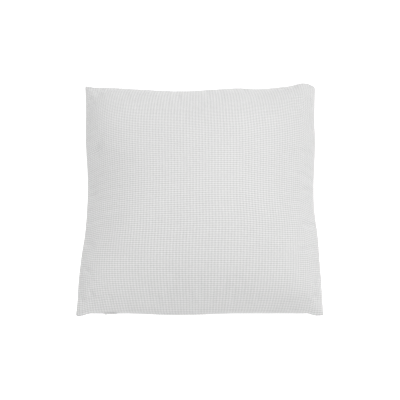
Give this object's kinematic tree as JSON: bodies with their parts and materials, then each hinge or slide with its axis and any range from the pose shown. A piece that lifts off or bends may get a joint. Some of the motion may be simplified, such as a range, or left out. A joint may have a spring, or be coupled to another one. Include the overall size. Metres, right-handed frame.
{
  "type": "throw pillow",
  "caption": "Square stuffed throw pillow: a waffle-fabric cover of two panels with a concealed coil zip along one edge, over a fibre-filled insert.",
  "frame": {"origin": "middle of the pillow's outline, on the flattened part of the back panel that it lies on", "axes": "+Z from the back panel to the front panel (the thickness), -Y towards the zip edge, +X to the right seen from the front with the zip edge nearest"},
  "size_m": [0.427, 0.424, 0.168],
  "materials": {
    "waffle_fabric": "matte",
    "sewing_thread": "matte",
    "zip_tape": "matte",
    "zip_coil": "satin",
    "zip_metal": "satin",
    "insert_lining": "matte",
    "polyester_fibre": "matte",
    "label_satin": "satin"
  },
  "bodies": {
    "pillow": {"cover_front_panel": "waffle_fabric", "cover_back_panel": "waffle_fabric", "overlock_left": "sewing_thread", "overlock_right": "sewing_thread", "overlock_top": "sewing_thread", "zip_tape_front": "zip_tape", "zip_tape_back": "zip_tape", "zip_coil_front": "zip_coil", "zip_coil_back": "zip_coil", "zip_top_stop_front": "zip_metal", "zip_top_stop_back": "zip_metal", "zip_bottom_stop": "zip_metal", "zip_stitch_front": "sewing_thread", "zip_stitch_back": "sewing_thread", "insert_front_panel": "insert_lining", "insert_back_panel": "insert_lining", "insert_seam_thread": "sewing_thread", "insert_closing_thread": "sewing_thread", "fibre_filling": "polyester_fibre", "care_label": "label_satin"},
    "slider": {"zip_slider": "zip_metal"},
    "pull_tab": {"zip_pull_tab": "zip_metal"}
  },
  "joints": [
    {"name": "zip_travel", "type": "slide", "parent": "pillow", "child": "slider", "axis": [1, 0, 0], "range_m": [0, 0.328]},
    {"name": "pull_tab_swing", "type": "hinge", "parent": "slider", "child": "pull_tab", "pos_m": [-0.164, -0.2091, 0.074], "axis": [0, 0, -1], "range_deg": [0, 180]}
  ]
}
